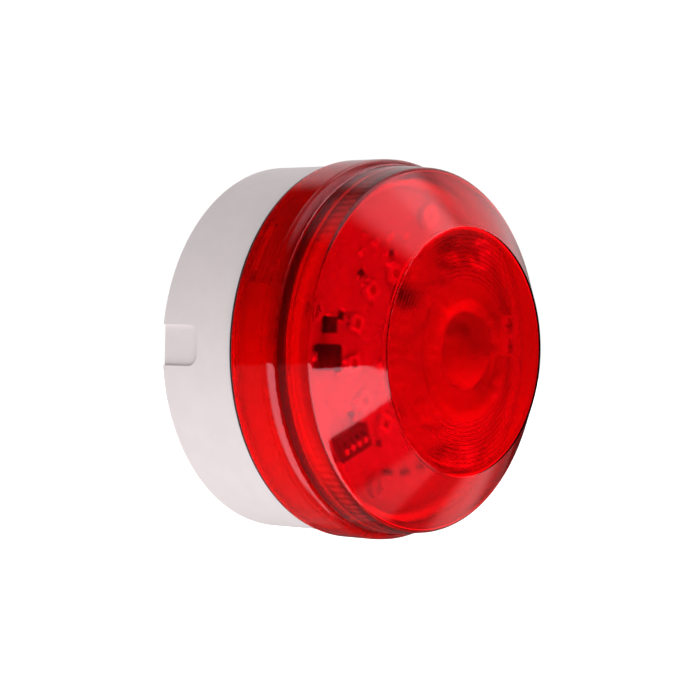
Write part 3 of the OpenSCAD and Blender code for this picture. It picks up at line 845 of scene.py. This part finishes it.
def make_leds():
    packages, windows, leads = Shape(), Shape(), Shape()
    for place in led_places():
        outside = [
            rect_ring(LED_SIDE, LED_SIDE, height, LED_CORNERS, inset)
            for height, inset in ((0.02, 0.06), (0.8, 0), (LED_H - 0.12, 0.04), (LED_H - 0.03, 0.08),
                                  (LED_H, 0.17))
        ]
        cup = [
            circle_like(outside[-1], LED_CUP_R + 0.06, LED_H),
            circle_like(outside[-1], LED_CUP_R, LED_H - 0.05),
            circle_like(outside[-1], LED_CUP_R - LED_CUP_FOOT, LED_CUP_FLOOR),
        ]
        stack(packages, outside + cup, place)
        dome = [
            (0, LED_CUP_FLOOR + 0.02), (LED_CUP_R - LED_CUP_FOOT, LED_CUP_FLOOR + 0.02),
            (LED_CUP_R - 0.07, 1.5), (1.3, 1.56), (0.9, 1.6), (0.45, 1.63), (0, 1.64),
        ]
        lathe(windows, dome, even_angles(36), place)
        for side in (0, 180):
            for across in (-LED_LEAD_OFFSET, LED_LEAD_OFFSET):
                turned = place @ at(0, 0, 0, side) @ at(LED_SIDE / 2 - 0.02, across, 0)
                soft_box(leads, 0.16, 0.9, 0.1, 0.95, turned, 0.04, 0.05)
                soft_box(leads, 0.6, 0.9, 0.05, 0.2, turned @ at(0.22, 0, 0), 0.05, 0.05)
    finish_as(packages.make("led_reflector_packages"), "led_package", "base")
    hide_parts("led_packages")
    finish_as(windows.make("led_silicone_windows", 60), "led_window", "base")
    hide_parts("led_windows")
    finish_as(leads.make("led_leads"), "tinned_metal", "base")


def make_chips():
    resistors, ceramics, caps = Shape(), Shape(), Shape()
    ceramic_places = [on_ring(CERAMIC_RING[0], angle, BOARD_TOP) for angle in CERAMIC_RING[1]]
    chip_places = ring_places(OUTER_LEDS[0], CHIP_RING_R, OUTER_LEDS[2])
    groups = (
        (resistors, chip_places, CHIP_W, CHIP_L, CHIP_H, 0.06),
        (ceramics, ceramic_places, CERAMIC_W, CERAMIC_L, CERAMIC_H, 0.12),
    )
    for shape, places, width, length, height, bevel in groups:
        for place in places:
            soft_box(shape, width - 0.06, length - 0.1, 0.05, height - 0.03, place, 0.08, bevel)
            for side in (0, 180):
                end = place @ at(0, 0, 0, side) @ at(0, length / 2 - CAP_L / 2, 0)
                soft_box(caps, width, CAP_L, FILM, height, end, 0.08, bevel)
                fillet = place @ at(0, 0, 0, side) @ at(0, length / 2 + 0.12, 0)
                soft_box(caps, width + 0.05, 0.5, FILM, height * 0.55, fillet, 0.12, height * 0.3)
    for shape, name, slot, node in (
        (resistors, "chip_resistor_bodies", "chip_black", "chip_resistors"),
        (ceramics, "chip_capacitor_bodies", "chip_ceramic", "chip_capacitors"),
    ):
        piece = shape.make(name)
        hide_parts(node)
        finish_as(piece, slot, "base")
    finish_as(caps.make("chip_end_caps"), "tinned_metal", "base")


def make_transistors(legs):
    bodies = Shape()
    for angle in TRANSISTOR_RING[1]:
        place = on_ring(TRANSISTOR_RING[0], angle, BOARD_TOP)
        soft_box(bodies, TRANSISTOR_W, TRANSISTOR_L, STAND_OFF, TRANSISTOR_TOP, place, 0.1, 0.12, 0.06)
        # Two leads on the inner side and one in the middle of the outer side
        for side, across in ((180, -TRANSISTOR_PITCH), (180, TRANSISTOR_PITCH), (0, 0)):
            turned = place @ at(0, 0, 0, side) @ at(0.6, across, 0)
            gull_wing(legs, 0.6, 0.4, 0.5, 0.13, turned)
    transistors = bodies.make("transistor_bodies")
    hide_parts("drive_transistors")
    finish_as(transistors, "chip_black", "base")


def make_rectifier(legs):
    body = Shape()
    x, y, length, width, height = RECTIFIER
    place = at(x, y, BOARD_TOP)
    soft_box(body, length, width, STAND_OFF, height + STAND_OFF, place, 0.15, 0.15, 0.1)
    for side in (90, 270):
        gull_wing(legs, 0.55, 1.9, 0.9, 0.2, place @ at(0, 0, 0, side) @ at(width / 2 - 0.1, 0, 0))
    rectifier = body.make("rectifier_body")
    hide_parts("rectifier_diode")
    finish_as(rectifier, "chip_black", "base")


def make_inductor(legs):
    """A ferrite block with a round groove in its top, where the drum core meets the shield."""
    core = Shape()
    x, y, length, width, height = INDUCTOR
    place = at(x, y, BOARD_TOP)
    block = [
        rect_ring(length, width, z, INDUCTOR_CORNER, inset)
        for z, inset in ((0.02, 0.05), (0.25, 0), (height - 0.3, 0), (height - 0.08, 0.1), (height, 0.3))
    ]
    groove = [
        circle_like(block[-1], radius, height - depth)
        for radius, depth in ((2.8, 0), (2.74, 0.28), (2.56, 0.28), (2.5, 0.04), (2.3, 0))
    ]
    stack(core, block + groove, place)
    for side in (0, 180):
        end = place @ at(0, 0, 0, side) @ at(length / 2 - 0.02, 0, 0)
        soft_box(legs, 0.14, 2.2, 0.05, 1.6, end, 0.04, 0.06)
        soft_box(legs, 0.7, 2.2, 0.03, 0.22, end @ at(0.2, 0, 0), 0.06, 0.08)
    inductor = core.make("inductor_core")
    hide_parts("power_inductor")
    finish_as(inductor, "ferrite", "base")


def make_power_parts():
    legs = Shape()
    make_transistors(legs)
    make_rectifier(legs)
    make_inductor(legs)
    finish_as(legs.make("power_part_leads"), "tinned_metal", "base")


def can_profile(radius, top):
    """The can's outline as (r, z) up to the scored part of its top."""
    low = CAN_BASE_H
    profile = [(0, low), (radius - 0.25, low), (radius, low + 0.25)]
    profile += [(radius, low + 1.3), (radius - 0.12, low + 1.5)]
    profile += arc(radius, low + CRIMP_Z, CRIMP_R, 250, 110, 6)
    profile += [(radius - 0.12, low + 2.2), (radius, low + 2.4)]
    profile += arc(radius - CAN_ROUND, top - CAN_ROUND, CAN_ROUND, 0, 90, 5)
    profile.append((radius * 0.78, top - CAN_DISH))
    return profile


def make_cans():
    cans, bases, marks, leads = Shape(), Shape(), Shape(), Shape()
    for x, y, radius, height in CANS:
        top = CAN_BASE_H + height
        profile = can_profile(radius, top)
        scored = len(profile)
        profile += [(radius * share, top - CAN_DISH) for share in SCORE_SHARES]

        def score(i, angle, profile=profile, scored=scored):
            """Three grooves across the can's top, from its centre."""
            away = abs((angle + 60) % 120 - 60)
            near = profile[i][0] * math.sin(math.radians(min(away, 90))) < SCORE_HALF_W
            return (0, -SCORE_DEPTH) if i >= scored and near else (0, 0)

        lathe(cans, profile, even_angles(120), at(x, y, BOARD_TOP, CAN_TURN), score)
        side = 2 * (radius + CAN_BASE_RIM)
        foot = at(x, y, BOARD_TOP)
        soft_box(bases, side, side, 0.05, CAN_BASE_H - 0.02, foot, CAN_BASE_CORNERS, 0.12)
        mark = arc(0, 0, radius - 0.42, 125, 235, 16)
        stack(marks, [[(px, py, z) for px, py in mark] for z in (top, top + 0.02)], foot)
        for turn in (0, 180):
            end = at(x, y, BOARD_TOP, turn) @ at(side / 2 + 0.1, 0, 0)
            soft_box(leads, 1.2, 0.8, 0.03, 0.2, end, 0.08, 0.05)
    can_piece = cans.make("capacitor_can_shells")
    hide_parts("capacitor_cans")
    finish_as(can_piece, "can_aluminium", "base")
    base_piece = bases.make("capacitor_can_bases")
    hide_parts("capacitor_bases")
    finish_as(base_piece, "chip_black", "base")
    finish_as(marks.make("capacitor_polarity_marks"), "chip_black", "base")
    finish_as(leads.make("capacitor_leads"), "tinned_metal", "base")


def ribbon(shape, points, width, low, high, place=None):
    """A flat band along a line of (x, y) points."""
    rings = []
    for i, point in enumerate(points):
        before = Vector(points[max(i - 1, 0)])
        after = Vector(points[min(i + 1, len(points) - 1)])
        along = (after - before).normalized()
        side = Vector((-along.y, along.x)) * width / 2
        left, right = Vector(point) + side, Vector(point) - side
        rings.append([(left.x, left.y, high), (right.x, right.y, high),
                      (right.x, right.y, low), (left.x, left.y, low)])
    stack(shape, rings, place or at(0, 0, BOARD_TOP))


def make_tracks():
    """Tracks under the solder mask: long ones round the board and two short ones at each LED."""
    tracks = Shape()
    for radius, start, end in TRACK_ARCS:
        ribbon(tracks, arc(0, 0, radius, start, end, int((end - start) / 3)), TRACK_W, 0, FILM)
    for count, radius, start in (INNER_LEDS, OUTER_LEDS):
        for i in range(count):
            angle = start + i * 360 / count
            for turn, inner, outer in TRACK_LINKS:
                a = math.radians(angle + turn * 10 / radius)
                ends = (radius + inner, radius + outer)
                ribbon(tracks, [(r * math.cos(a), r * math.sin(a)) for r in ends], LINK_W, 0, FILM)
    finish_as(tracks.make("board_tracks"), "white_board", "base")


def make_pads():
    """A pad under each LED lead, and vias spread over the board."""
    pads = Shape()
    for place in led_places():
        for side in (0, 180):
            for across in (-LED_LEAD_OFFSET, LED_LEAD_OFFSET):
                pad = place @ at(0, 0, 0, side) @ at(LED_SIDE / 2 + 0.2, across, 0)
                soft_box(pads, 1.0, 1.2, 0, FILM, pad, 0.15, 0.01)
    draw = random.Random(11)
    via = [(VIA_HOLE_R, 0), (VIA_R, 0), (VIA_R, FILM), (VIA_HOLE_R, FILM)]
    for i in range(VIA_COUNT):
        radius, angle = draw.uniform(*VIA_RADII), draw.uniform(0, 360)
        lathe(pads, via, even_angles(14), on_ring(radius, angle, BOARD_TOP))
    finish_as(pads.make("board_pads"), "tinned_metal", "base")


def make_print():
    """Two printed brackets beside each LED."""
    prints = Shape()
    outline = [(x, y) for x, y, z in rect_ring(LED_SIDE + 0.9, LED_SIDE + 0.3, 0, 0.3)]
    quarter = len(outline) // 4
    for place in led_places():
        ribbon(prints, outline[quarter - 2:quarter + 8], PRINT_W, 0, FILM, place)
        ribbon(prints, outline[3 * quarter - 2:3 * quarter + 5], PRINT_W, 0, FILM, place)
    finish_as(prints.make("board_print"), "chip_black", "base")


# ---------------------------------------------------------------- carried CAD nodes
# Width of the rounding on each carried node's edges, in millimetres
EDGES = {
    "base_housing": 0.4, "entry_grommet": 0.2, "lens_gasket": 0.15, "dip_switch_body": 0.12,
    "controller_body": 0.12, "controller_leads": 0.04, "terminal_block": 0.18, "terminal_screws": 0.1,
    "terminal_clamps": 0.1, "board_screws": 0.12, "main_board": 0.08,
}
EDGES.update({f"dip_slider_{way}": 0.08 for way in (1, 2, 3, 4)})
# Edges where the faces meet at less than this angle, in degrees, are part of a curve
ROUND_FROM = 32


def dress_cad_nodes():
    """Gives each CAD node the material of its slot, and a rounding where it has edges."""
    slots = {row["node"]: row["material_slot"] for row in frame["record"]["subparts"]}
    for name, piece in frame["nodes"].items():
        piece.data.materials.clear()
        piece.data.materials.append(MATERIALS[slots[name]])
        if name in EDGES:
            rounding = piece.modifiers.new("rounded_edges", "BEVEL")
            rounding.width = EDGES[name] * MM
            rounding.segments = 2
            rounding.limit_method = "ANGLE"
            rounding.angle_limit = math.radians(ROUND_FROM)


make_camera()
make_world()
make_floor()
dress_cad_nodes()
make_lens()
make_leds()
make_chips()
make_power_parts()
make_cans()
make_tracks()
make_pads()
make_print()
bpy.context.scene.view_settings.view_transform = "Standard"
